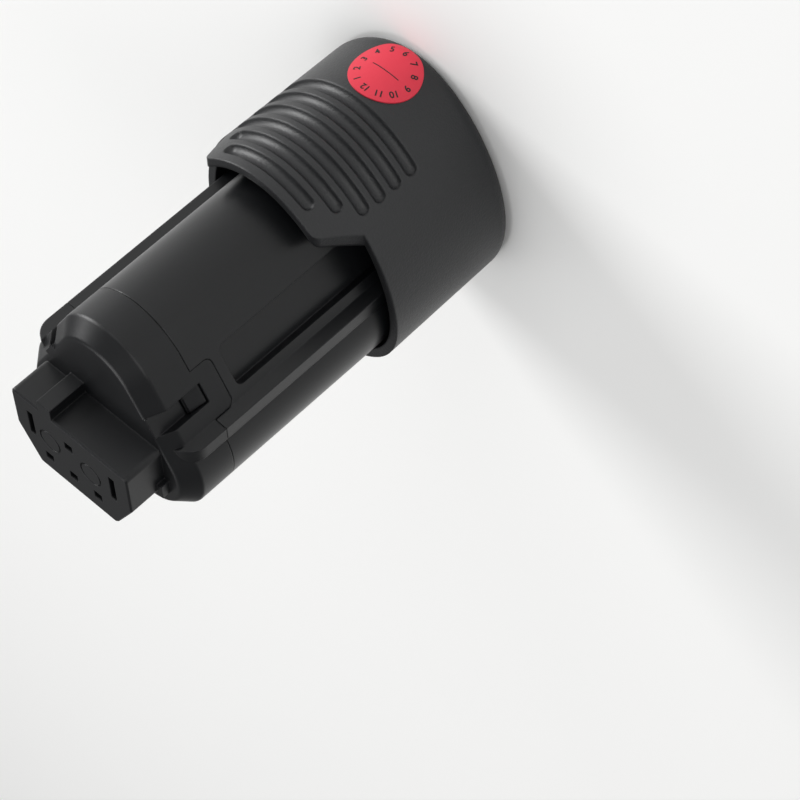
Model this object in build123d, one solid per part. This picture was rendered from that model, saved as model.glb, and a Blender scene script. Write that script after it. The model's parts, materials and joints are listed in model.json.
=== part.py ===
from build123d import *
import math
import os

# A three cell slide-in battery pack for a hand tool, standing on its base.
# Sizes are in millimetres. Z runs from the base up to the terminals, the finger ribs
# and the round sticker face -Y, and the release latch is on the +Y side.

# Cells and their seats
cell_diameter = 18.4
cell_length = 65.0
cell_gap = 0.6
cell_seat_clearance = 1.3
cell_can_edge = 0.8
cell_nub_radius = 3.6
cell_nub_height = 0.9
cell_groove_depth = 0.35
cell_groove_height = 1.4
cell_groove_drop = 3.2

# Stick housing
stick_wall = 2.3
floor_thickness = 2.0
seam_rise = 3.8
lobe_angle = 120
flat_angle = -150
rail_side_inset = 0.9
rail_front_drop = 9.7
rail_back_drop = 6.4
rail_root_depth = 1.6
rail_foot_along = 14.9
pocket_start_along = 3.45
pocket_end_along = 12.9
pocket_depth = 2.2
pocket_top_drop = 7.2
pocket_bottom_z = 12.0
pocket_floor = 1.1
pocket_side = 0.9
pocket_corner = 1.5
spigot_height = 3.5
flange_thickness = 2.2
flange_clearance = 0.25

# Base collar
collar_wall = 1.9
collar_floor = 2.6
collar_base_gap = 0.35
collar_top_gap = 1.3
collar_front_gap = 4.84
collar_back_gap = 7.2
collar_side_z = 33.6
collar_bottom_radius = 3.4
collar_front_share = 0.515
collar_lean_share = 0.1
collar_egg_share = 0.115
base_fullness_share = -0.05
top_fullness_share = 0.2
tongue_height = 9.4
tongue_half_width = 14.2
tongue_foot_half_width = 17.9
tongue_back_drop = 17.5
tongue_corner = 2.0
outline_points = 20

# Finger grooves, from the free edge of the tongue down
groove_count = 6
groove_pitch = 4.28
groove_radius = 1.55
groove_depth = 1.15
groove_first_drop = 3.5
groove_first_half = 9.8
groove_second_half = 12.8
groove_half = 15.6
groove_first_far_half = 10.8
groove_second_far_half = 13.8
groove_far_half = 19.6
groove_step = 0.01

# Label, sticker and base screws
label_inset = 4.4
label_recess = 0.45
label_thickness = 0.3
sticker_radius = 7.2
sticker_thickness = 0.25
sticker_rise = 1.3
screw_shank_radius = 1.1
screw_head_radius = 2.0
screw_head_height = 1.3
screw_length = 7.6
screw_clearance = 0.05
screw_boss_radius = 2.3
screw_boss_height = 6.9
screw_off_lobe = 0.2
screw_front_angle = 30
screw_back_angle = 90
screw_recess_width = 0.7
screw_recess_depth = 0.5

# Terminal cap, its catches and its block
cap_height = 11.4
cap_wall = 2.1
cap_lap_wall = 1.1
cap_shoulder_drop = 3.5
cap_face_inset = 3.0
cap_soft_edge = 1.0
cap_top_wall = 2.0
cap_gap = 0.1
rail_rise = 9.7
rail_end_radius = 4.6
tab_start_along = 3.7
tab_thickness = 1.6
tab_drop = 4.8
tab_corner = 1.5
window_start_along = 6.7
window_width = 4.5
window_drop = 0.6
window_height = 4.3
catch_clearance = 0.2
catch_height = 1.6
catch_toe = 0.3
ramp_depth = 2.2
ramp_wall = 1.2
ramp_side = 1.0
block_height = 8.8
block_width = 31.0
block_back_inset = 2.1
block_depth = 19.5
block_chamfer_x = 5.1
block_chamfer_y = 8.7
block_wall = 1.6
block_edge = 1.1
block_end_edge = 0.3
key_width = 3.6
key_height = 2.8
key_centre_x = 6.2
bracket_width = 1.2
bracket_height = 3.0
bracket_length = 3.6
mark_radius = 2.8
mark_groove = 0.35
mark_depth = 0.3
mark_spread = 5.5
mark_back = 8.6

# Terminals behind the slots of the block
power_slot_x = 11.0
power_slot_back = 7.3
power_slot_length = 7.0
power_slot_width = 1.5
signal_slot_size = 2.1
signal_slot_x = 6.6
signal_shift = 0.6
signal_row_back = 14.9
signal_front_back = 5.3
contact_strip = 0.4
contact_top_gap = 1.2
contact_mouth = 1.0
contact_side_clearance = 0.25

# Board and what is on it
board_thickness = 1.2
board_rise = 3.4
board_clearance = 0.6
sheet_thickness = 0.3
strip_thickness = 0.2
strip_width = 7.0
strip_clearance = 0.1
riser_width = 3.0
riser_depth_below_flat = 5.2
foam_thickness = 1.0
spacer_height = 5.0
spacer_clearance = 0.12
spacer_hole_clearance = 0.1
ring_thickness = 0.3
carrier_height = 6.0
carrier_wall = 1.5
carrier_clearance = 0.06
mosfet_length = 5.0
mosfet_width = 6.0
mosfet_height = 1.1
chip_length = 4.4
chip_width = 5.0
chip_height = 1.2
resistor_length = 1.6
resistor_width = 0.8
resistor_height = 0.5
resistor_pitch = 1.6
resistor_count = 5
bead_radius = 1.1
bead_length = 4.0
bead_drop = 26.0
lead_radius = 0.22
lead_spacing = 1.1
lead_hole_radius = 1.6

# Release latch
latch_width = 14.0
latch_plate = 1.5
latch_bottom_z = 6.5
latch_top_drop = 0.4
latch_bottom_proud = 0.3
latch_top_proud = 2.9
latch_side_gap = 0.35
latch_travel = 4.0
latch_root_width = 10.0
latch_window_top_z = 17.0
latch_tongue_width = 9.0
latch_tongue_rise = 8.2
latch_tongue_thickness = 1.4
latch_web = 1.8
latch_step_inward = 3.6
hook_height = 2.0
hook_length = 4.0
hook_land = 0.8
pivot_z = 11.0
pivot_depth = 4.3
pin_radius = 1.0
pin_clearance = 0.05
pin_squeeze = 0.01
knuckle_radius = 2.0
knuckle_width = 2.6
ear_thickness = 2.0
ear_gap = 0.35
pin_end = 0.4
spring_wire_radius = 0.35
spring_coil_radius = 1.6
spring_pitch = 1.2
spring_turns = 3
spring_steps = 4
spring_leg = 3.6
spring_seat_height = 1.8
spring_seat_drop = 1.0
cut_overrun = 1.0

# Places across the pack, worked out from the sizes above
cell_radius = cell_diameter / 2
cell_pitch = cell_diameter + cell_gap
cell_rise = cell_pitch * math.sqrt(3) / 2
cavity_radius = cell_radius + cell_seat_clearance
lobe_radius = cavity_radius + stick_wall
stick_width = cell_pitch + 2 * lobe_radius
stick_depth = cell_rise + 2 * lobe_radius
collar_base_width = stick_width + 2 * (collar_base_gap + collar_wall)
collar_top_width = stick_width + 2 * (collar_top_gap + collar_wall)
collar_base_depth = collar_front_gap + stick_depth + collar_back_gap + 2 * collar_wall
collar_front_reach = collar_front_share * collar_base_depth
collar_front_y = (sticker_thickness - collar_base_depth) / 2
widest_y = collar_front_y + collar_front_reach
front_cell_y = collar_front_y + collar_wall + collar_front_gap + lobe_radius
back_cell_y = front_cell_y + cell_rise
stick_back_y = back_cell_y + lobe_radius
rail_half_width = stick_width / 2 - rail_side_inset
boss_depth = pocket_depth + pocket_floor
window_end_along = window_start_along + window_width
block_back_y = stick_back_y - block_back_inset
block_front_y = block_back_y - block_depth
centre_y = (front_cell_y + 2 * back_cell_y) / 3
cell_places = {
    "front": (0, front_cell_y),
    "left": (-cell_pitch / 2, back_cell_y),
    "right": (cell_pitch / 2, back_cell_y),
}

# Heights worked out from the sizes above
stick_bottom_z = collar_floor
cavity_bottom_z = stick_bottom_z + floor_thickness
foam_top_z = cavity_bottom_z + foam_thickness
cell_bottom_z = foam_top_z + strip_thickness
cell_top_z = cell_bottom_z + cell_length
strip_top_z = cell_top_z + strip_thickness
board_bottom_z = strip_top_z + board_rise
board_top_z = board_bottom_z + board_thickness
seam_z = cell_top_z + seam_rise
spigot_top_z = seam_z + spigot_height
pocket_top_z = seam_z - pocket_top_drop
tab_bottom_z = seam_z - tab_drop
window_bottom_z = seam_z - window_drop
window_top_z = window_bottom_z + window_height
rail_end_z = seam_z + rail_rise
cap_face_z = seam_z + cap_height
cap_shoulder_z = cap_face_z - cap_shoulder_drop
pack_height = cap_face_z + block_height
block_inside_top_z = pack_height - block_wall
tongue_z = collar_side_z + tongue_height
sticker_z = sticker_rise + sticker_radius
latch_top_z = collar_side_z - latch_top_drop
latch_tongue_top_z = collar_side_z + latch_tongue_rise


def collar_back(z):
    """How far the back of the collar reaches at a height."""
    return collar_base_depth - collar_front_reach + collar_lean_share * (collar_bottom_radius - z)


def unit(angle):
    """Unit vector in the XY plane at an angle in degrees."""
    return Vector(math.cos(math.radians(angle)), math.sin(math.radians(angle)), 0)


pivot_y = widest_y + collar_back(pivot_z) - pivot_depth

# The flat on the -X side: X runs up, Y runs towards the back and Z points out
flat_place = Plane(
    origin=Vector(0, front_cell_y, 0) + unit(flat_angle) * lobe_radius,
    x_dir=(0, 0, 1),
    z_dir=unit(flat_angle),
)


def prism(face, bottom_z, top_z):
    """Straight solid on a flat outline between two heights."""
    return extrude(Pos(0, 0, bottom_z) * face, amount=top_z - bottom_z)


def lobes_outline(radius):
    """Three round lobes joined by flats, one lobe for each cell."""
    lines = []
    for index, name in enumerate(("front", "right", "left")):
        centre = Vector(*cell_places[name], 0)
        first = flat_angle + index * lobe_angle
        corner = [centre + unit(first + share * lobe_angle) * radius for share in (0, 1 / 2, 1)]
        lines.append(ThreePointArc(*corner))
    for index in range(3):
        lines.append(Line(lines[index] @ 1, lines[(index + 1) % 3] @ 0))
    return make_face(lines)


def rail_face():
    """Square bar that makes the rail on the -X side, seen along the stick."""
    foot = flat_place.origin + flat_place.y_dir * rail_foot_along
    front = back_cell_y - rail_front_drop
    back = back_cell_y - rail_back_drop
    corner = Vector(-rail_half_width, front, 0)
    rear = Vector(-rail_half_width, back, 0)
    rear_root = Vector(-rail_half_width + stick_wall, back, 0)
    root = foot - flat_place.z_dir * rail_root_depth
    return make_face(Polyline(foot, corner, rear, rear_root, root, close=True))


def stick_outline():
    """Lobes with a rail on each side."""
    rail = rail_face()
    return (lobes_outline(lobe_radius) + rail + mirror(rail, about=Plane.YZ)).face()


def egg_point(angle, inset, z):
    """Point on the collar's outline at a height, inset by a wall. The front half is an
    ellipse and the back half gets squarer towards the top."""
    share = z / tongue_z
    half = (collar_base_width + (collar_top_width - collar_base_width) * share) / 2 - inset
    across = math.cos(angle)
    deep = math.sin(angle)
    wide = half * (1 + collar_egg_share * deep)
    if deep < 0:
        return (wide * across, widest_y + (collar_front_reach - inset) * deep)
    fullness = base_fullness_share + (top_fullness_share - base_fullness_share) * share
    power = 2 / (2 + fullness)
    across = math.copysign(abs(across) ** power, across)
    return (wide * across, widest_y + (collar_back(z) - inset) * deep ** power)


def egg_outline(inset, z):
    """Egg shaped outline of the collar at a height, inset by a wall."""
    turn = 2 * math.pi / outline_points
    points = [egg_point((step + 0.5) * turn, inset, z) for step in range(outline_points)]
    return make_face(Spline(*points, periodic=True))


def collar_solid(inset, bottom_z, top_z):
    """Egg shaped solid whose back leans in towards the top."""
    low = Pos(0, 0, bottom_z) * egg_outline(inset, bottom_z)
    high = Pos(0, 0, top_z) * egg_outline(inset, top_z)
    return loft([low, high])


def rounded_collar(grow):
    """Collar without its hollow, rounded at the bottom, grown by a skin's thickness."""
    blank = collar_solid(-grow, -grow, tongue_z)
    return fillet(blank.edges().group_by(Axis.Z)[0], collar_bottom_radius + grow)


def tongue_keep():
    """Room above the low side edge that the front tongue keeps, seen from the front."""
    slant = tongue_foot_half_width
    points = [
        (-slant, collar_side_z),
        (-tongue_half_width, tongue_z),
        (tongue_half_width, tongue_z),
        (slant, collar_side_z),
    ]
    outline = make_face(Polyline(*points, close=True))
    outline = fillet(outline.vertices().sort_by(Axis.Y)[-2:], tongue_corner)
    depth = tongue_back_drop + cut_overrun
    return extrude(Plane.XZ.offset(-collar_front_y + cut_overrun) * outline, amount=-depth)


def groove_reach(z, half):
    """Angle from the front of the collar to a distance from the middle."""
    reach = math.pi / 2
    while egg_point(reach - math.pi / 2, groove_depth - groove_radius, z)[0] > half:
        reach -= groove_step
    return reach


def groove_path(z, half, far_half):
    """Line along the front of the collar that reaches further on the +X side."""
    left = groove_reach(z, half)
    step = (left + groove_reach(z, far_half)) / outline_points
    angles = [index * step - left - math.pi / 2 for index in range(outline_points + 1)]
    return Spline(*[(*egg_point(angle, groove_depth - groove_radius, z), z) for angle in angles])


def groove_tools():
    """Round ended rods, half sunk along the front of the collar, that cut the grooves."""
    tools = []
    for index in range(groove_count):
        z = tongue_z - groove_first_drop - index * groove_pitch
        halves = (groove_half, groove_far_half)
        if index == 0:
            halves = (groove_first_half, groove_first_far_half)
        if index == 1:
            halves = (groove_second_half, groove_second_far_half)
        path = groove_path(z, *halves)
        ring = Plane(origin=path @ 0, z_dir=path % 0) * Circle(groove_radius)
        tools.append(sweep(ring, path=path))
        tools.append(Pos(path @ 0) * Sphere(groove_radius))
        tools.append(Pos(path @ 1) * Sphere(groove_radius))
    return tools


def screw_places():
    """Four screws that join the collar to the housing flange, close outside the lobes."""
    places = []
    reach = lobe_radius + screw_off_lobe
    front = Vector(*cell_places["front"]) + unit(-screw_front_angle) * reach
    back = Vector(*cell_places["right"]) + unit(screw_back_angle) * reach
    for place in (front, back):
        places.append((-place.X, place.Y))
        places.append((place.X, place.Y))
    return places


def lever_outer_y(z):
    """Outer face of the lever at a height: flush below, standing off above."""
    low = collar_back(latch_bottom_z) + latch_bottom_proud
    high = collar_back(latch_top_z) + latch_top_proud
    share = (z - latch_bottom_z) / (latch_top_z - latch_bottom_z)
    return widest_y + low + (high - low) * share


def lever_plate(gap):
    """Sloping plate of the lever, grown by a gap on its sides, ends and inner face."""
    low_z = latch_bottom_z - gap
    high_z = latch_top_z + gap
    outline = [
        (lever_outer_y(low_z) + gap, low_z),
        (lever_outer_y(high_z) + gap, high_z),
        (lever_outer_y(high_z) - latch_plate - gap, high_z),
        (lever_outer_y(low_z) - latch_plate - gap, low_z),
    ]
    face = make_face(Polyline(*outline, close=True))
    return extrude(Plane.YZ * face, amount=latch_width / 2 + gap, both=True)


def latch_ear(side):
    """Ear inside the collar that holds one end of the latch pin."""
    inner_x = latch_root_width / 2 + ear_gap
    ear = Cylinder(knuckle_radius, ear_thickness, rotation=(0, 90, 0))
    arm = Box(ear_thickness, pivot_depth, 2 * knuckle_radius, align=(Align.CENTER, Align.MIN, Align.CENTER))
    centre = Pos(side * (inner_x + ear_thickness / 2), pivot_y, pivot_z)
    return centre * (ear + arm)


def make_base_collar():
    """Textured grip sleeve with the floor, the ribbed tongue and the latch opening."""
    outer = rounded_collar(0)
    inner = collar_solid(collar_wall, collar_floor, tongue_z + cut_overrun)
    above = Box(
        2 * collar_top_width,
        2 * collar_base_depth,
        tongue_z,
        align=(Align.CENTER, Align.CENTER, Align.MIN),
    )
    collar = outer - inner - (Pos(0, 0, collar_side_z) * above - tongue_keep())
    for tool in groove_tools():
        collar -= tool
    label_bed = prism(label_face(), -cut_overrun, label_recess)
    collar -= label_bed
    for x, y in screw_places():
        hole = Cylinder(screw_shank_radius + screw_clearance, 2 * collar_floor + cut_overrun)
        sink_top = label_recess + screw_head_height
        sink = Cylinder(
            screw_head_radius + screw_clearance,
            sink_top + cut_overrun,
            align=(Align.CENTER, Align.CENTER, Align.MAX),
        )
        collar -= Pos(x, y, 0) * hole
        collar -= Pos(x, y, sink_top) * sink
    trim = collar_solid(collar_wall / 2, 0, tongue_z)
    for side in (-1, 1):
        collar += latch_ear(side) & trim
    pin_hole_length = latch_root_width + 2 * ear_gap + 2 * ear_thickness + 2 * cut_overrun
    pivot = Pos(0, pivot_y, pivot_z)
    collar -= pivot * Cylinder(pin_radius, pin_hole_length, rotation=(0, 90, 0))
    bed = lever_plate(latch_side_gap)
    collar -= bed
    collar -= pivot * Rot(latch_travel, 0, 0) * pivot.inverse() * bed
    collar -= latch_window()
    return collar


def latch_window():
    """Opening for the lever's root, and the notch for its tongue at the collar's edge."""
    width = latch_root_width + 2 * latch_side_gap
    low_z = pivot_z - knuckle_radius - latch_side_gap
    align = (Align.CENTER, Align.CENTER, Align.MIN)
    root = Box(width, 4 * collar_wall, latch_window_top_z - low_z, align=align)
    root = Pos(0, widest_y + collar_back(low_z), low_z) * root
    notch_low = latch_top_z - latch_web - 2 * latch_side_gap
    notch_width = latch_tongue_width + 2 * latch_side_gap
    notch = Box(notch_width, 4 * collar_wall, collar_side_z - notch_low + cut_overrun, align=align)
    return root + Pos(0, widest_y + collar_back(collar_side_z), notch_low) * notch


def label_face():
    """Outline of the bed for the base label."""
    return egg_outline(label_inset, 0)


def make_base_label():
    """Thin label in its bed under the base."""
    outline = egg_outline(label_inset + screw_clearance, 0)
    return prism(outline, label_recess - label_thickness, label_recess)


def make_date_sticker():
    """Round sticker that follows the front of the collar."""
    disc = Cylinder(sticker_radius, 2 * collar_bottom_radius, rotation=(90, 0, 0))
    disc = Pos(0, collar_front_y, sticker_z) * disc
    return disc & (rounded_collar(sticker_thickness) - rounded_collar(0))


def make_collar_screws():
    """Four pan head screws under the label."""
    screws = []
    for x, y in screw_places():
        head_bottom = label_recess
        head = Cylinder(screw_head_radius, screw_head_height, align=(Align.CENTER, Align.CENTER, Align.MIN))
        head = chamfer(head.edges().group_by(Axis.Z)[0], screw_head_height / 3)
        shank = Pos(0, 0, screw_head_height) * Cylinder(
            screw_shank_radius,
            screw_length - screw_head_height,
            align=(Align.CENTER, Align.CENTER, Align.MIN),
        )
        recess = Box(screw_head_radius * 1.5, screw_recess_width, 2 * screw_recess_depth)
        recess += Rot(0, 0, 90) * recess
        screws.append(Pos(x, y, head_bottom) * (head + shank - recess))
    return Compound(children=screws)


def both_sides(shape):
    """A shape on the -X flat together with its mirror image on the +X flat."""
    return shape + mirror(shape, about=Plane.YZ)


def flat_box(along, z, inward, outward, corner=0):
    """Block on the -X flat: spans along the flat, in height, and from a depth inside the
    surface to a distance outside it. Its four upright corners can be rounded."""
    align = (Align.MIN, Align.MIN, Align.MIN)
    block = Box(z[1] - z[0], along[1] - along[0], inward + outward, align=align)
    if corner:
        block = fillet(block.edges().filter_by(Axis.Z), corner)
    return flat_place * Pos(z[0], along[0], -inward) * block


def make_stick_housing():
    """Tube that holds the cells, with rails, pockets, cap spigot and bottom flange."""
    housing = prism(stick_outline(), stick_bottom_z, seam_z)
    housing += prism(lobes_outline(lobe_radius - cap_lap_wall - cap_gap), seam_z, spigot_top_z)
    flange_top_z = stick_bottom_z + flange_thickness
    flange = egg_outline(collar_wall + flange_clearance, flange_top_z)
    housing += prism(flange, stick_bottom_z, flange_top_z)
    for x, y in screw_places():
        boss = Cylinder(screw_boss_radius, screw_boss_height, align=(Align.CENTER, Align.CENTER, Align.MIN))
        housing += Pos(x, y, stick_bottom_z) * boss
    cavity = prism(lobes_outline(cavity_radius), cavity_bottom_z, spigot_top_z + cut_overrun)
    along = (pocket_start_along - pocket_side, pocket_end_along + pocket_side)
    heights = (cavity_bottom_z - cut_overrun, spigot_top_z + 2 * cut_overrun)
    cavity -= both_sides(flat_box(along, heights, boss_depth, cut_overrun))
    housing -= cavity
    along = (pocket_start_along, pocket_end_along)
    heights = (pocket_bottom_z, pocket_top_z)
    housing -= both_sides(flat_box(along, heights, pocket_depth, 2 * stick_wall, pocket_corner))
    along = (tab_start_along - cap_gap, rail_foot_along + cap_gap)
    heights = (tab_bottom_z - cap_gap, seam_z + 3 * tab_corner)
    room = flat_box(along, heights, tab_thickness + cap_gap, stick_wall, tab_corner + cap_gap)
    housing -= both_sides(room)
    housing += both_sides(catch())
    for x, y in screw_places():
        pilot = Cylinder(screw_shank_radius + screw_clearance / 2, screw_length,
                         align=(Align.CENTER, Align.CENTER, Align.MIN))
        housing -= Pos(x, y, stick_bottom_z - cut_overrun) * pilot
    return housing


def catch():
    """Wedge for the cap's window: steep towards the base, sloping towards the terminals."""
    seat = boss_depth - pocket_floor / 2
    low = window_bottom_z + catch_clearance
    high = spigot_top_z - catch_clearance
    top = catch_height - cap_wall
    foot = -cap_lap_wall - cap_gap
    points = [(low, -seat), (low, top), (low + catch_toe, top), (high, foot), (high, -seat)]
    outline = make_face(Polyline(*points, close=True))
    wedge = extrude(Plane.XZ * outline, amount=-(window_width - 2 * catch_clearance))
    return flat_place * Pos(0, window_start_along + catch_clearance, 0) * wedge


def block_outline(inset):
    """Terminal block seen from the end, with its two back corners cut."""
    half = block_width / 2 - inset
    front = block_front_y + inset
    back = block_back_y - inset
    cut_x = block_chamfer_x - inset / 2
    cut_y = block_chamfer_y - inset / 2
    points = [
        (-half, front),
        (half, front),
        (half, back - cut_y),
        (half - cut_x, back),
        (-half + cut_x, back),
        (-half, back - cut_y),
    ]
    return make_face(Polyline(*points, close=True))


def slot_places():
    """Centre and size of each terminal slot, by name."""
    places = {}
    for name, side in (("left", -1), ("right", 1)):
        x = side * power_slot_x
        places["power_" + name] = (x, power_slot_back, power_slot_width, power_slot_length)
    places["signal_front"] = (signal_shift, signal_front_back, signal_slot_size, signal_slot_size)
    for name, share in (("left", -1), ("middle", 0), ("right", 1)):
        x = signal_shift + share * signal_slot_x
        places["signal_" + name] = (x, signal_row_back, signal_slot_size, signal_slot_size)
    return places


def cap_rail():
    """Rail on the -X side of the cap, with a large round at its end."""
    rail = prism(rail_face(), seam_z + cap_gap, rail_end_z)
    radius = rail_end_radius
    corner = Box(radius, cell_pitch, radius, align=(Align.MIN, Align.MIN, Align.MAX))
    corner = Pos(-rail_half_width, back_cell_y - cell_pitch, rail_end_z) * corner
    disc = Cylinder(radius, 2 * cell_pitch, rotation=(90, 0, 0))
    disc = Pos(radius - rail_half_width, back_cell_y - cell_pitch / 2, rail_end_z - radius) * disc
    return rail - (corner - disc)


def cap_outer():
    """Outer form of the cap below the block: straight, then a soft sloping shoulder."""
    low = Pos(0, 0, cap_shoulder_z) * lobes_outline(lobe_radius)
    high = Pos(0, 0, cap_face_z) * lobes_outline(lobe_radius - cap_face_inset)
    outer = prism(lobes_outline(lobe_radius), seam_z + cap_gap, cap_shoulder_z) + loft([low, high])
    for z in (cap_shoulder_z, cap_face_z):
        outer = fillet(outer.edges().filter_by_position(Axis.Z, z, z), cap_soft_edge)
    return outer


def make_terminal_block():
    """Block that plugs into the tool, with its key rib and the small bracket beside it."""
    block = prism(block_outline(0), cap_face_z - cap_top_wall, pack_height)
    block = fillet(block.edges().filter_by(Axis.Z), block_edge)
    block = chamfer(block.faces().sort_by(Axis.Z)[-1].edges(), block_end_edge)
    align = (Align.CENTER, Align.MIN, Align.MIN)
    key = Box(key_width, key_height + block_edge, block_height, align=align)
    block += Pos(key_centre_x, block_front_y - key_height, cap_face_z) * key
    align = (Align.MAX, Align.MIN, Align.MIN)
    bracket = Box(bracket_width, bracket_length, bracket_height, align=align)
    place = Pos(-block_width / 2, block_front_y + block_chamfer_y, cap_face_z - cap_top_wall / 2)
    return block + place * bracket


def make_terminal_cap():
    """End cap with its snap tabs, windows and the slotted terminal block."""
    start_z = seam_z + cap_gap
    outer = cap_outer()
    cap = outer + both_sides(cap_rail()) + make_terminal_block()
    lap_top_z = spigot_top_z + cap_gap
    cavity = prism(lobes_outline(lobe_radius - cap_lap_wall), start_z - cut_overrun, lap_top_z)
    cavity += prism(lobes_outline(lobe_radius - cap_wall), lap_top_z, cap_shoulder_z - cap_gap)
    inset = cap_wall + cap_face_inset
    cavity += prism(lobes_outline(lobe_radius - inset), seam_z, cap_face_z - cap_top_wall)
    cavity += prism(block_outline(block_wall), cap_face_z - 2 * cap_top_wall, block_inside_top_z)
    cap -= cavity
    ramp_bottom = ramp_depth + ramp_wall
    along = (window_start_along - ramp_side, window_end_along + ramp_side)
    heights = (window_top_z, cap_face_z)
    cap += both_sides(flat_box(along, heights, ramp_bottom, 0) & outer)
    window = (window_start_along, window_end_along)
    cap += both_sides(flat_box(window, heights, ramp_bottom, -ramp_depth))
    along = (tab_start_along, rail_foot_along)
    heights = (tab_bottom_z, start_z + 2 * tab_corner)
    cap += both_sides(flat_box(along, heights, tab_thickness, 0, tab_corner))
    heights = (window_bottom_z, window_top_z)
    cap -= both_sides(flat_box(window, heights, ramp_bottom, cut_overrun))
    heights = (window_top_z - cut_overrun, cap_face_z)
    cap -= both_sides(flat_box(window, heights, ramp_depth, cut_overrun))
    for x, back, width, length in slot_places().values():
        cap -= Pos(x, block_front_y + back, pack_height) * Box(width, length, 3 * block_wall)
    for side in (-1, 1):
        ring = Cylinder(mark_radius, 2 * mark_depth)
        ring -= Cylinder(mark_radius - mark_groove, 2 * mark_depth)
        x = signal_shift + side * mark_spread
        cap -= Pos(x, block_front_y + mark_back, pack_height) * ring
    return cap


def make_cell(name, flipped):
    """One cylindrical cell with its crimp groove and raised positive end."""
    align = (Align.CENTER, Align.CENTER, Align.MIN)
    can = Cylinder(cell_radius, cell_length - cell_nub_height, align=align)
    can = fillet(can.edges(), cell_can_edge)
    nub = Cylinder(cell_nub_radius, cell_nub_height, align=align)
    groove = Cylinder(cell_radius + cut_overrun, cell_groove_height)
    groove -= Cylinder(cell_radius - cell_groove_depth, cell_groove_height)
    cell = can + Pos(0, 0, cell_length - cell_nub_height) * nub
    cell -= Pos(0, 0, cell_length - cell_nub_height - cell_groove_drop) * groove
    if flipped:
        cell = Pos(0, 0, cell_length) * Rot(180, 0, 0) * cell
    x, y = cell_places[name]
    return Pos(x, y, cell_bottom_z) * cell


def make_insulator_rings():
    """Fibre ring round each positive end."""
    rings = []
    for name, (x, y) in cell_places.items():
        ring = Cylinder(cell_radius - cell_can_edge, ring_thickness) - Cylinder(
            cell_nub_radius + spacer_clearance, ring_thickness
        )
        shoulder = cell_nub_height - ring_thickness / 2
        z = cell_bottom_z + shoulder if name == "left" else cell_top_z - shoulder
        rings.append(Pos(x, y, z) * ring)
    return Compound(children=rings)


def make_spacer(bottom_z):
    """Plate that keeps the three cells apart at one end."""
    heights = (bottom_z - cut_overrun, bottom_z + spacer_height + cut_overrun)
    plate = prism(lobes_outline(cavity_radius - spacer_clearance), bottom_z, bottom_z + spacer_height)
    plate -= boss_room(heights)
    plate -= riser_room(heights)
    for x, y in cell_places.values():
        plate -= Pos(x, y, bottom_z) * Cylinder(cell_radius + spacer_hole_clearance, 3 * spacer_height)
    return plate - Pos(0, centre_y, bottom_z) * Cylinder(lead_hole_radius, 3 * spacer_height)


def riser_room(heights):
    """Channel on each side for a strip that runs up the valley between two cells."""
    middle = cell_pitch / 2
    half = riser_width / 2 + strip_clearance
    depth = riser_depth_below_flat + strip_thickness + strip_clearance
    return both_sides(flat_box((middle - half, middle + half), heights, depth, cut_overrun))


def strip_between(first, second, z):
    """Flat nickel strip that joins two cell ends."""
    (x1, y1), (x2, y2) = cell_places[first], cell_places[second]
    length = math.hypot(x2 - x1, y2 - y1)
    angle = math.degrees(math.atan2(y2 - y1, x2 - x1))
    strip = prism(SlotCenterToCenter(length, strip_width), z, z + strip_thickness)
    return Pos((x1 + x2) / 2, (y1 + y2) / 2, 0) * Rot(0, 0, angle) * strip


def end_pad(name, z):
    """Round nickel pad on one cell end."""
    x, y = cell_places[name]
    pad = Cylinder(strip_width / 2, strip_thickness, align=(Align.CENTER, Align.CENTER, Align.MIN))
    return Pos(x, y, z) * pad


def make_lower_link():
    """Strip under the left and right cells."""
    return strip_between("left", "right", foam_top_z)


def board_tab(name):
    """Tab from the strip on a cell up to the board."""
    x, y = cell_places[name]
    align = (Align.CENTER, Align.MIN, Align.MIN)
    tab = Box(riser_width, strip_thickness, board_bottom_z - cell_top_z, align=align)
    return Pos(x, y + strip_width / 2 - strip_thickness, cell_top_z) * tab


def make_upper_link():
    """Strip over the front and left cells, with a tab up to the board."""
    return strip_between("front", "left", cell_top_z) + board_tab("left")


def make_positive_strip():
    """Strip on the right cell with a tab up to the board."""
    return end_pad("right", cell_top_z) + board_tab("right")


def make_negative_riser():
    """Strip from the front cell's lower end up the valley to the board."""
    middle = cell_pitch / 2
    half = riser_width / 2
    depth = riser_depth_below_flat
    heights = (foam_top_z, board_bottom_z)
    riser = flat_box((middle - half, middle + half), heights, depth + strip_thickness, -depth)
    x, y = cell_places["front"]
    inner = flat_place.origin - flat_place.z_dir * (depth + strip_thickness / 2)
    end = inner + flat_place.y_dir * middle
    length = math.hypot(end.X - x, end.Y - y)
    angle = math.degrees(math.atan2(end.Y - y, end.X - x))
    foot = Box(length, riser_width, strip_thickness, align=(Align.MIN, Align.CENTER, Align.MIN))
    strip = riser + Pos(x, y, foam_top_z) * Rot(0, 0, angle) * foot
    return mirror(strip, about=Plane.YZ) + end_pad("front", foam_top_z)


def make_foam_pad():
    """Foam sheet between the housing floor and the lower strips."""
    heights = (cavity_bottom_z - cut_overrun, foam_top_z + cut_overrun)
    pad = prism(lobes_outline(cell_radius), cavity_bottom_z, foam_top_z)
    return pad - boss_room(heights)


def boss_room(heights):
    """Room that the inside walls of the two pockets take."""
    gap = spacer_clearance
    along = (pocket_start_along - pocket_side - gap, pocket_end_along + pocket_side + gap)
    return both_sides(flat_box(along, heights, boss_depth + gap, cut_overrun))


def frame_room(heights):
    """The same room with a wall round it, for the board frame."""
    gap = spacer_clearance + carrier_wall
    along = (pocket_start_along - pocket_side - gap, pocket_end_along + pocket_side + gap)
    return both_sides(flat_box(along, heights, boss_depth + gap, cut_overrun))


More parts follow.
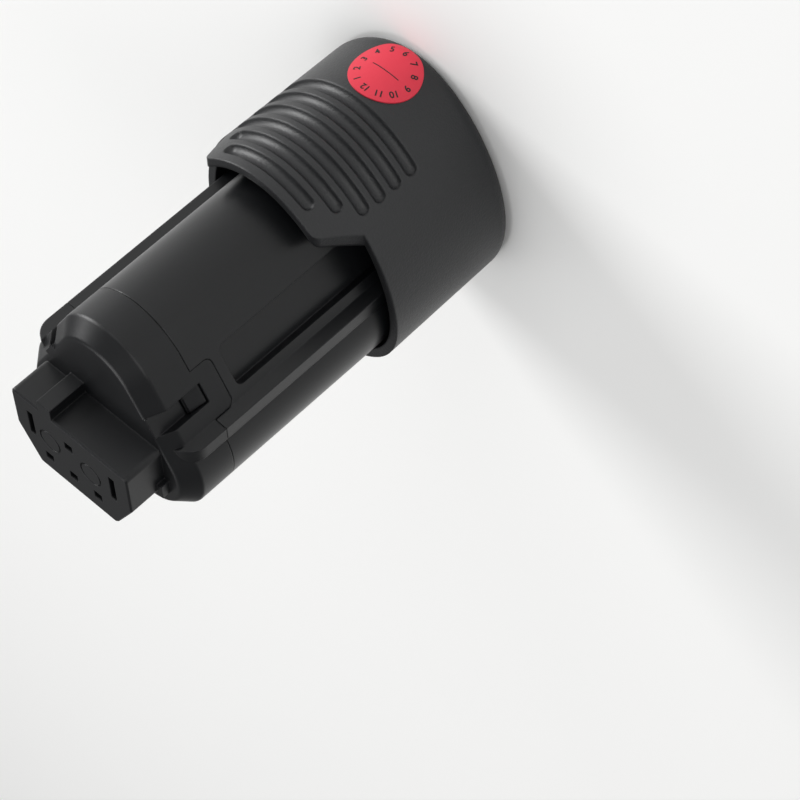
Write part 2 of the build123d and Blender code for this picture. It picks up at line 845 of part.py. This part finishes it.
def board_face(extra=0):
    """Outline of the board inside the housing mouth."""
    return lobes_outline(cavity_radius - board_clearance - extra)


def make_insulating_sheet():
    """Fish paper sheet over the upper strips, with slots for the tabs and the leads."""
    heights = (strip_top_z - cut_overrun, strip_top_z + 2 * cut_overrun)
    sheet = prism(board_face(), strip_top_z, strip_top_z + sheet_thickness)
    sheet -= boss_room(heights)
    sheet -= riser_room(heights)
    for name in ("left", "right"):
        x, y = cell_places[name]
        slot = Box(riser_width + 2 * strip_clearance, 4 * strip_thickness, 4 * sheet_thickness)
        sheet -= Pos(x, y + strip_width / 2, strip_top_z) * slot
    return sheet - Pos(0, centre_y, strip_top_z) * Cylinder(lead_hole_radius, 4 * sheet_thickness)


def make_board_frame():
    """Rim that carries the board above the sheet."""
    low = strip_top_z + sheet_thickness
    heights = (low - cut_overrun, board_bottom_z + cut_overrun)
    hollow = prism(board_face(carrier_wall), low - cut_overrun, board_bottom_z + cut_overrun)
    hollow -= frame_room((low - 2 * cut_overrun, board_bottom_z + 2 * cut_overrun))
    frame = prism(board_face(), low, board_bottom_z) - boss_room(heights)
    return frame - hollow


def make_protection_board():
    """Circuit board with the two lead holes."""
    board = prism(board_face(), board_bottom_z, board_top_z)
    board -= boss_room((board_bottom_z - cut_overrun, board_top_z + cut_overrun))
    return board


def fork(width, length):
    """Spring fork that grips a blade: two leaves that close towards the mouth."""
    half = width / 2 + contact_side_clearance
    height = block_inside_top_z - contact_top_gap - board_top_z
    strip = contact_strip
    waist = height - contact_mouth
    points = [
        (-half, 0),
        (half, 0),
        (half, waist / 2),
        (contact_strip / 2 + strip, waist),
        (half, height),
        (half - strip, height),
        (contact_strip / 2, waist),
        (half - strip, waist / 2),
        (half - strip, strip),
        (-half + strip, strip),
        (-half + strip, waist / 2),
        (-contact_strip / 2, waist),
        (-half + strip, height),
        (-half, height),
        (-contact_strip / 2 - strip, waist),
        (-half, waist / 2),
    ]
    face = make_face(Polyline(*points, close=True))
    return extrude(Plane.XZ * face, amount=length / 2, both=True)


def make_contact(name):
    """Fork behind one slot of the block."""
    x, back, width, length = slot_places()[name]
    clear = contact_side_clearance
    return Pos(x, block_front_y + back, board_top_z) * fork(width, length - 2 * clear)


def make_contact_carrier():
    """Plastic guide that keeps the forks upright on the board."""
    outline = block_outline(block_wall + cap_gap)
    carrier = prism(outline, board_top_z, board_top_z + carrier_height)
    for x, back, width, length in slot_places().values():
        room_x = width + 2 * contact_side_clearance + 2 * carrier_clearance
        room_y = length + 2 * carrier_clearance
        room = Box(room_x, room_y, 3 * carrier_height)
        carrier -= Pos(x, block_front_y + back, board_top_z) * room
    return carrier


def make_mosfets():
    """Two switching transistors on the board, in front of the contacts."""
    pair = []
    y = block_front_y - mosfet_length
    for side in (-1, 1):
        align = (Align.CENTER, Align.CENTER, Align.MIN)
        body = Box(mosfet_width, mosfet_length, mosfet_height, align=align)
        x = side * (mosfet_width + resistor_width) / 2
        pair.append(Pos(x, y, board_top_z) * body)
    return Compound(children=pair)


def make_control_chip():
    """Protection controller at the front of the board."""
    y = block_front_y - 2 * mosfet_length - chip_width / 2 + resistor_width
    body = Box(chip_length, chip_width, chip_height, align=(Align.CENTER, Align.CENTER, Align.MIN))
    return Pos(0, y, board_top_z) * body


def make_chip_resistors():
    """Row of small resistors along the edge of the carrier."""
    row = []
    y = block_front_y + block_wall + cap_gap - resistor_length
    for index in range(resistor_count):
        x = (index - (resistor_count - 1) / 2) * resistor_pitch
        align = (Align.CENTER, Align.CENTER, Align.MIN)
        body = Box(resistor_width, resistor_length, resistor_height, align=align)
        row.append(Pos(x, y, board_top_z) * body)
    return Compound(children=row)


def make_thermistor():
    """Glass bead between the three cells."""
    z = cell_top_z - bead_drop
    return Pos(0, centre_y, z) * Cylinder(bead_radius, bead_length)


def make_thermistor_leads():
    """Two insulated leads from the bead up to the board."""
    low = cell_top_z - bead_drop + bead_length / 2
    leads = []
    for side in (-1, 1):
        align = (Align.CENTER, Align.CENTER, Align.MIN)
        lead = Cylinder(lead_radius, board_bottom_z - low, align=align)
        leads.append(Pos(side * lead_spacing / 2, centre_y, low) * lead)
    return Compound(children=leads)


def make_release_latch():
    """Lever at the back: finger plate, pivot knuckles, and the tongue with its hook."""
    plate = lever_plate(0)
    rim = plate.faces().sort_by(lambda face: face.normal_at().Y)[-1].edges()
    latch = fillet(rim, latch_plate / 2)
    knuckle_x = latch_root_width / 2 - knuckle_width / 2
    reach = lever_outer_y(pivot_z) - latch_plate / 2 - pivot_y
    pivot = Pos(0, pivot_y, pivot_z)
    for side in (-1, 1):
        knuckle = Cylinder(knuckle_radius, knuckle_width, rotation=(0, 90, 0))
        align = (Align.CENTER, Align.MIN, Align.CENTER)
        knuckle += Box(knuckle_width, reach, 2 * knuckle_radius, align=align)
        latch += Pos(side * knuckle_x, 0, 0) * pivot * knuckle
    seat_y = pivot_y + spring_coil_radius + spring_wire_radius + pin_clearance
    seat_z = pivot_z + spring_leg - spring_seat_drop
    seat_depth = lever_outer_y(seat_z) - latch_plate / 2 - seat_y
    seat = Box(latch_root_width, seat_depth, spring_seat_height, align=align)
    latch += Pos(0, seat_y, seat_z) * seat
    latch -= pivot * Cylinder(pin_radius + pin_clearance, 2 * latch_width, rotation=(0, 90, 0))
    return latch + latch_tongue()


def latch_tongue():
    """Tongue over the collar's edge, with the hook that holds the pack in the tool."""
    root_y = lever_outer_y(latch_top_z) - latch_plate / 2
    outer_y = lever_outer_y(latch_top_z) - latch_step_inward
    inner_y = outer_y - latch_tongue_thickness
    hook_low = latch_tongue_top_z - hook_length
    profile = [
        (root_y, latch_top_z - latch_web),
        (root_y, latch_top_z),
        (outer_y, latch_top_z),
        (outer_y, hook_low),
        (outer_y + hook_height, hook_low),
        (outer_y + hook_height, hook_low + hook_land),
        (outer_y, latch_tongue_top_z),
        (inner_y, latch_tongue_top_z),
        (inner_y, latch_top_z - latch_web),
    ]
    face = make_face(Polyline(*profile, close=True))
    return extrude(Plane.YZ * face, amount=latch_tongue_width / 2, both=True)


def make_latch_pin():
    """Steel pin across the latch knuckles and the collar's ears."""
    length = latch_root_width + 2 * ear_gap + 2 * ear_thickness - 2 * pin_end
    return Pos(0, pivot_y, pivot_z) * Cylinder(pin_radius - pin_squeeze, length, rotation=(0, 90, 0))


def spring_point(angle):
    """Point on the coil's centre line after turning by an angle in degrees."""
    x = spring_pitch * (angle / 360 - spring_turns / 2)
    y = spring_coil_radius * math.cos(math.radians(angle))
    z = spring_coil_radius * math.sin(math.radians(angle))
    return Vector(x, y, z)


def make_latch_spring():
    """Torsion spring on the pin that pushes the lever out."""
    coil = []
    step = 360 / spring_steps
    for index in range(spring_steps * spring_turns):
        arc = [spring_point((index + share) * step) for share in (0, 1 / 2, 1)]
        coil.append(ThreePointArc(*arc))
    first = spring_point(0)
    last = spring_point(360 * spring_turns)
    up_leg = Line(first - Vector(0, 0, spring_leg), first)
    out_leg = Line(last, last + Vector(0, 0, spring_leg))
    path = Wire([up_leg] + coil + [out_leg])
    ring = Plane(origin=path @ 0, z_dir=path % 0) * Circle(spring_wire_radius)
    return Pos(0, pivot_y, pivot_z) * sweep(ring, path=path)


def write_parts(parts):
    """Write one file for each named piece."""
    os.makedirs("parts", exist_ok=True)
    for name, shape in parts.items():
        export_step(shape, "parts/" + name + ".step")


def main():
    parts = {
        "base_collar": make_base_collar(),
        "base_label": make_base_label(),
        "date_sticker": make_date_sticker(),
        "collar_screws": make_collar_screws(),
        "stick_housing": make_stick_housing(),
        "terminal_cap": make_terminal_cap(),
        "cell_front": make_cell("front", False),
        "cell_left": make_cell("left", True),
        "cell_right": make_cell("right", False),
        "insulator_rings": make_insulator_rings(),
        "lower_cell_spacer": make_spacer(cell_bottom_z + cell_can_edge),
        "upper_cell_spacer": make_spacer(cell_top_z - cell_can_edge - spacer_height),
        "lower_link_strip": make_lower_link(),
        "upper_link_strip": make_upper_link(),
        "positive_strip": make_positive_strip(),
        "negative_riser_strip": make_negative_riser(),
        "foam_pad": make_foam_pad(),
        "insulating_sheet": make_insulating_sheet(),
        "board_frame": make_board_frame(),
        "protection_board": make_protection_board(),
        "contact_carrier": make_contact_carrier(),
        "switching_transistors": make_mosfets(),
        "control_chip": make_control_chip(),
        "chip_resistors": make_chip_resistors(),
        "thermistor_bead": make_thermistor(),
        "thermistor_leads": make_thermistor_leads(),
        "release_latch": make_release_latch(),
        "latch_pin": make_latch_pin(),
        "latch_spring": make_latch_spring(),
    }
    for name in slot_places():
        parts[name + "_contact"] = make_contact(name)
    write_parts(parts)


main()
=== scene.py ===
import bpy
import json
import math
from mathutils import Matrix, Vector


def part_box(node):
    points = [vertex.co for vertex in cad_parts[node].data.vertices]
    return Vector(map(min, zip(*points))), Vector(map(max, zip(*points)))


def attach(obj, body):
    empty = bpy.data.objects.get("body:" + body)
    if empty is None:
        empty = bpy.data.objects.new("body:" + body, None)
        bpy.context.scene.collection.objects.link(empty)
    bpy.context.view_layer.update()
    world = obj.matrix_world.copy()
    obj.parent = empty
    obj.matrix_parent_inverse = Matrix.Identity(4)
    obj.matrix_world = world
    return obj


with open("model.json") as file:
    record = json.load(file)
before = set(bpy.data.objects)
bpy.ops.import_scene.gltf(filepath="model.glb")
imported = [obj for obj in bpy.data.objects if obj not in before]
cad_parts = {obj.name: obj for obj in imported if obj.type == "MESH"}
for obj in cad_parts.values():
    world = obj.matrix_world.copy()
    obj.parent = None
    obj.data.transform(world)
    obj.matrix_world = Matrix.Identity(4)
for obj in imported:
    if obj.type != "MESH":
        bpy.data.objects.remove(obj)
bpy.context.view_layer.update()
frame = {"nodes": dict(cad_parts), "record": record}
nodes = frame["nodes"]
mm = 0.001


# Small helpers

# sRGB hex to linear colour
def hexLinear(code):
    values = [int(code[i:i + 2], 16) / 255 for i in (1, 3, 5)]
    return [v / 12.92 if v <= 0.04045 else ((v + 0.055) / 1.055) ** 2.4 for v in values] + [1.0]


# new shader node; an input that is a socket gets linked, anything else is a value
def addNode(tree, kind, settings=None, inputs=None):
    node = tree.nodes.new(kind)
    for key, value in (settings or {}).items():
        setattr(node, key, value)
    for key, value in (inputs or {}).items():
        if isinstance(value, bpy.types.NodeSocket):
            tree.links.new(value, node.inputs[key])
        else:
            node.inputs[key].default_value = value
    return node


def setMaterial(name, material):
    for slot in nodes[name].material_slots:
        slot.material = material


# how fine the noise behind every plastic and metal is, and how well edges are softened
noiseLook = {"driftDetail": 3.0, "grainDetail": 2.0, "grainRoughness": 0.6, "bevelSamples": 6}


# moulded plastic: slight colour drift, fine spark texture, softened edges
def plasticMaterial(name, look):
    mat = bpy.data.materials.new(name)
    mat.use_nodes = True
    tree = mat.node_tree
    shader = tree.nodes["Principled BSDF"]
    coords = addNode(tree, "ShaderNodeTexCoord").outputs["Object"]
    cloud = addNode(tree, "ShaderNodeTexNoise", inputs={
        "Vector": coords, "Scale": 1 / (look["driftMm"] * mm), "Detail": noiseLook["driftDetail"]})
    tone = addNode(tree, "ShaderNodeMix", {"data_type": "RGBA"})
    tone.inputs[6].default_value = hexLinear(look["dark"])
    tone.inputs[7].default_value = hexLinear(look["light"])
    tree.links.new(cloud.outputs["Fac"], tone.inputs[0])
    tree.links.new(tone.outputs[2], shader.inputs["Base Color"])
    grain = addNode(tree, "ShaderNodeTexNoise", inputs={
        "Vector": coords, "Scale": 1 / (look["grainMm"] * mm),
        "Detail": noiseLook["grainDetail"], "Roughness": noiseLook["grainRoughness"]})
    rough = addNode(tree, "ShaderNodeMapRange", inputs={
        "Value": grain.outputs["Fac"], "To Min": look["roughLow"], "To Max": look["roughHigh"]})
    tree.links.new(rough.outputs["Result"], shader.inputs["Roughness"])
    edge = addNode(tree, "ShaderNodeBevel", {"samples": noiseLook["bevelSamples"]},
                   {"Radius": look["edgeMm"] * mm})
    bump = addNode(tree, "ShaderNodeBump", inputs={
        "Height": grain.outputs["Fac"], "Distance": look["grainDepthMm"] * mm,
        "Strength": look["grainStrength"], "Normal": edge.outputs["Normal"]})
    tree.links.new(bump.outputs["Normal"], shader.inputs["Normal"])
    shader.inputs["Specular IOR Level"].default_value = look["specular"]
    return mat


# rolled or drawn metal with faint streaks
def metalMaterial(name, look):
    mat = bpy.data.materials.new(name)
    mat.use_nodes = True
    tree = mat.node_tree
    shader = tree.nodes["Principled BSDF"]
    coords = addNode(tree, "ShaderNodeTexCoord").outputs["Object"]
    stretch = addNode(tree, "ShaderNodeMapping", inputs={"Vector": coords})
    stretch.inputs["Scale"].default_value = look["streak"]
    noise = addNode(tree, "ShaderNodeTexNoise", inputs={
        "Vector": stretch.outputs["Vector"], "Scale": 1 / (look["grainMm"] * mm),
        "Detail": noiseLook["driftDetail"]})
    rough = addNode(tree, "ShaderNodeMapRange", inputs={
        "Value": noise.outputs["Fac"], "To Min": look["roughLow"], "To Max": look["roughHigh"]})
    tree.links.new(rough.outputs["Result"], shader.inputs["Roughness"])
    shader.inputs["Base Color"].default_value = hexLinear(look["colour"])
    shader.inputs["Metallic"].default_value = 1.0
    return mat


# Outer plastics

gripLook = {"dark": "#151618", "light": "#1a1b1d", "driftMm": 9.0, "grainMm": 0.45, "grainDepthMm": 0.07,
            "grainStrength": 0.95, "roughLow": 0.36, "roughHigh": 0.54, "edgeMm": 0.6, "specular": 0.5}
shellLook = {"dark": "#0b0c0e", "light": "#0f1012", "driftMm": 12.0, "grainMm": 0.25, "grainDepthMm": 0.012,
             "grainStrength": 0.5, "roughLow": 0.28, "roughHigh": 0.4, "edgeMm": 0.35, "specular": 0.38}
capLook = {"dark": "#0c0d0f", "light": "#101113", "driftMm": 12.0, "grainMm": 0.25, "grainDepthMm": 0.014,
           "grainStrength": 0.5, "roughLow": 0.34, "roughHigh": 0.46, "edgeMm": 0.35, "specular": 0.34}
labelLook = {"dark": "#292b33", "light": "#2d2f37", "driftMm": 15.0, "grainMm": 0.3, "grainDepthMm": 0.006,
             "grainStrength": 0.4, "roughLow": 0.38, "roughHigh": 0.5, "edgeMm": 0.08, "specular": 0.5}
stickerLook = {"dark": "#c9293c", "light": "#d23044", "driftMm": 8.0, "grainMm": 0.3, "grainDepthMm": 0.006,
               "grainStrength": 0.4, "roughLow": 0.4, "roughHigh": 0.5, "edgeMm": 0.08, "specular": 0.4}
printLook = {"dark": "#100c0d", "light": "#160f11", "driftMm": 4.0, "grainMm": 0.2, "grainDepthMm": 0.002,
             "grainStrength": 0.2, "roughLow": 0.45, "roughHigh": 0.6, "edgeMm": 0.02, "specular": 0.4}

# charcoal moulded nylon with a spark eroded texture
gripPlastic = plasticMaterial("TexturedGripPlastic", gripLook)
# satin black housing plastic
shellPlastic = plasticMaterial("SatinHousingPlastic", shellLook)
# slightly flatter black of the end cap
capPlastic = plasticMaterial("MattCapPlastic", capLook)
# bare dark film under the base
labelFilm = plasticMaterial("DarkLabelFilm", labelLook)
# red vinyl of the round sticker
stickerVinyl = plasticMaterial("RedStickerVinyl", stickerLook)
# black ink on the sticker
stickerInk = plasticMaterial("StickerInk", printLook)

setMaterial("base_collar", gripPlastic)
setMaterial("stick_housing", shellPlastic)
setMaterial("terminal_cap", capPlastic)
setMaterial("release_latch", shellPlastic)
setMaterial("base_label", labelFilm)
setMaterial("date_sticker", stickerVinyl)
print("outer plastics done")


# Inner pieces, by the slot that the record gives them: name, two colours, roughness

roughnessSpread = 0.1
innerPlastics = {
    "cell_sleeve": ("CellShrinkSleeve", "#2b6d8c", "#2f7595", 0.22),
    "fibre_board": ("FibrePaper", "#b9b09a", "#c4bca6", 0.75),
    "spacer_plastic": ("SpacerPlastic", "#a9a9a3", "#b1b1ab", 0.5),
    "foam": ("ClosedCellFoam", "#262626", "#303030", 0.85),
    "circuit_board": ("SolderMask", "#11492c", "#145433", 0.3),
    "chip_plastic": ("ChipPackage", "#161616", "#1d1d1d", 0.55),
    "lead_insulation": ("LeadInsulation", "#7a1512", "#8a1a16", 0.4),
}
metalLooks = {
    "nickel": ("NickelStrip", {"colour": "#b9b4a8", "streak": (1, 1, 0.05), "grainMm": 0.3,
                               "roughLow": 0.2, "roughHigh": 0.4}),
    "contact_alloy": ("ContactAlloy", {"colour": "#c9a26b", "streak": (1, 1, 0.1), "grainMm": 0.3,
                                       "roughLow": 0.2, "roughHigh": 0.38}),
    "steel": ("ZincSteel", {"colour": "#a3a4a6", "streak": (0.1, 1, 1), "grainMm": 0.25,
                            "roughLow": 0.25, "roughHigh": 0.45}),
}
innerMaterials = {}
for slotName, (matName, dark, light, rough) in innerPlastics.items():
    look = dict(shellLook, dark=dark, light=light, roughLow=rough, roughHigh=rough + roughnessSpread)
    innerMaterials[slotName] = plasticMaterial(matName, look)
for slotName, (matName, look) in metalLooks.items():
    innerMaterials[slotName] = metalMaterial(matName, look)
for part in frame["record"]["subparts"]:
    if part["material_slot"] in innerMaterials:
        setMaterial(part["node"], innerMaterials[part["material_slot"]])
print("inner pieces done")


# Print on the round sticker: plain numbers on a dial and a thin line

dial = {"numbers": 12, "radiusMm": 5.5, "heightMm": 1.9, "boldMm": 0.05, "liftMm": 0.03,
        "lineLengthMm": 6.6, "lineWidthMm": 0.2, "gridMm": 0.4, "curveSteps": 4, "startMm": 5}
stickerLow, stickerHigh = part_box("date_sticker")
dialCentre = (stickerLow + stickerHigh) / 2


# moves flat print, drawn in x and z, onto the curved face of the sticker
def drapeOnSticker(mesh):
    target = nodes["date_sticker"]
    for vertex in mesh.vertices:
        x, z = vertex.co.x, vertex.co.z
        start = Vector((x, stickerLow.y - dial["startMm"] * mm, z))
        hit, place = target.ray_cast(start, Vector((0, 1, 0)))[:2]
        if hit:
            vertex.co = Vector((x, place.y - dial["liftMm"] * mm, z))


def numberMesh(text):
    curve = bpy.data.curves.new("number", "FONT")
    curve.body = text
    curve.size = dial["heightMm"] * mm
    curve.offset = dial["boldMm"] * mm
    curve.align_x = "CENTER"
    curve.align_y = "CENTER"
    curve.resolution_u = dial["curveSteps"]
    textObject = bpy.data.objects.new("number", curve)
    bpy.context.scene.collection.objects.link(textObject)
    bpy.context.view_layer.update()
    mesh = bpy.data.meshes.new_from_object(textObject.evaluated_get(bpy.context.evaluated_depsgraph_get()))
    bpy.data.objects.remove(textObject)
    return mesh


def makeDial():
    verts, faces = [], []

    def addFlat(points, polygons):
        base = len(verts)
        verts.extend(points)
        faces.extend([[base + i for i in polygon] for polygon in polygons])

    for number in range(1, dial["numbers"] + 1):
        turn = 2 * math.pi * number / dial["numbers"]
        mesh = numberMesh(str(number))
        out = Vector((math.sin(turn), 0, math.cos(turn)))
        side = Vector((math.cos(turn), 0, -math.sin(turn)))
        centre = dialCentre + out * dial["radiusMm"] * mm
        points = [centre + side * v.co.x + out * v.co.y for v in mesh.vertices]
        addFlat(points, [list(polygon.vertices) for polygon in mesh.polygons])
        bpy.data.meshes.remove(mesh)
    steps = int(dial["lineLengthMm"] / dial["gridMm"])
    half = dial["lineLengthMm"] * mm / 2
    for row in (-0.5, 0.5):
        verts.extend([dialCentre + Vector((-half + 2 * half * i / steps, 0, row * dial["lineWidthMm"] * mm))
                      for i in range(steps + 1)])
    base = len(verts) - 2 * (steps + 1)
    faces.extend([[base + i, base + i + 1, base + steps + 2 + i, base + steps + 1 + i]
                  for i in range(steps)])
    mesh = bpy.data.meshes.new("sticker_print")
    mesh.from_pydata(verts, [], faces)
    drapeOnSticker(mesh)
    mesh.materials.append(stickerInk)
    return mesh


stickerPrint = bpy.data.objects.new("sticker_print", makeDial())
bpy.context.scene.collection.objects.link(stickerPrint)
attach(stickerPrint, "pack")
print("sticker print done")


# Floor, background, lights and camera

stage = {"floorSizeM": 8.0, "floorColour": "#f4f4f3", "floorNoiseScale": 40.0, "floorRoughLow": 0.8,
         "floorRoughHigh": 0.9, "backdrop": "#ffffff", "ambient": 0.2}
camera = {"azimuth": -26.12, "elevation": 23.45, "roll": -131.64, "aimMm": (-37.96, 2.72, 46.0),
          "distanceMm": 569.6, "lensMm": 137.48, "sensorMm": 36.0, "nearM": 0.01, "farM": 10.0}
lightTarget = (0, 0, 0.05)  # about the middle of the pack, in metres
# direction towards the light, distance, size, power, in metres and watts
lights = {
    "key": {"towards": (0.9, -0.35, 0.2), "distance": 1.8, "size": (0.9, 1.2), "power": 40.5},
    "fill": {"towards": (-0.9, -0.7, 0.5), "distance": 1.6, "size": (1.2, 1.2), "power": 9.2},
    "top": {"towards": (0.1, 0.2, 1.0), "distance": 1.2, "size": (0.7, 1.0), "power": 7.6},
    "front": {"towards": (0.1, -1.0, 0.3), "distance": 1.6, "size": (1.0, 1.0), "power": 4.4},
}


def makeFloor():
    half = stage["floorSizeM"] / 2
    mesh = bpy.data.meshes.new("floor")
    corners = [(-half, -half, 0), (half, -half, 0), (half, half, 0), (-half, half, 0)]
    mesh.from_pydata(corners, [], [(0, 1, 2, 3)])
    mat = bpy.data.materials.new("PaleFloor")
    mat.use_nodes = True
    tree = mat.node_tree
    coords = addNode(tree, "ShaderNodeTexCoord").outputs["Object"]
    noise = addNode(tree, "ShaderNodeTexNoise", inputs={
        "Vector": coords, "Scale": stage["floorNoiseScale"]})
    rough = addNode(tree, "ShaderNodeMapRange", inputs={
        "Value": noise.outputs["Fac"], "To Min": stage["floorRoughLow"], "To Max": stage["floorRoughHigh"]})
    shader = tree.nodes["Principled BSDF"]
    shader.inputs["Base Color"].default_value = hexLinear(stage["floorColour"])
    tree.links.new(rough.outputs["Result"], shader.inputs["Roughness"])
    mesh.materials.append(mat)
    floor = bpy.data.objects.new("floor", mesh)
    bpy.context.scene.collection.objects.link(floor)


def makeWorld():
    world = bpy.data.worlds.new("studio")
    bpy.context.scene.world = world
    world.use_nodes = True
    sky = world.node_tree.nodes["Background"]
    sky.inputs["Color"].default_value = hexLinear(stage["backdrop"])
    sky.inputs["Strength"].default_value = stage["ambient"]


def makeLights():
    target = Vector(lightTarget)
    for name, light in lights.items():
        data = bpy.data.lights.new(name, "AREA")
        data.shape = "RECTANGLE"
        data.size, data.size_y = light["size"]
        data.energy = light["power"]
        lamp = bpy.data.objects.new(name, data)
        away = Vector(light["towards"]).normalized()
        lamp.location = target + away * light["distance"]
        lamp.rotation_mode = "QUATERNION"
        lamp.rotation_quaternion = away.to_track_quat("Z", "Y")
        bpy.context.scene.collection.objects.link(lamp)


def makeCamera():
    data = bpy.data.cameras.new("camera")
    data.lens = camera["lensMm"]
    data.sensor_width = camera["sensorMm"]
    data.clip_start, data.clip_end = camera["nearM"], camera["farM"]
    cam = bpy.data.objects.new("camera", data)
    bpy.context.scene.collection.objects.link(cam)
    turn, lift = math.radians(camera["azimuth"]), math.radians(camera["elevation"])
    back = Vector((math.sin(turn) * math.cos(lift), -math.cos(turn) * math.cos(lift), math.sin(lift)))
    upright = (-back).to_track_quat("-Z", "Y").to_matrix().to_4x4()
    roll = Matrix.Rotation(math.radians(camera["roll"]), 4, "Z")
    place = Vector(camera["aimMm"]) * mm + back * camera["distanceMm"] * mm
    cam.matrix_world = Matrix.Translation(place) @ upright @ roll
    bpy.context.scene.camera = cam


makeFloor()
makeWorld()
makeLights()
makeCamera()
bpy.context.scene.view_settings.view_transform = "Standard"
print("stage done")
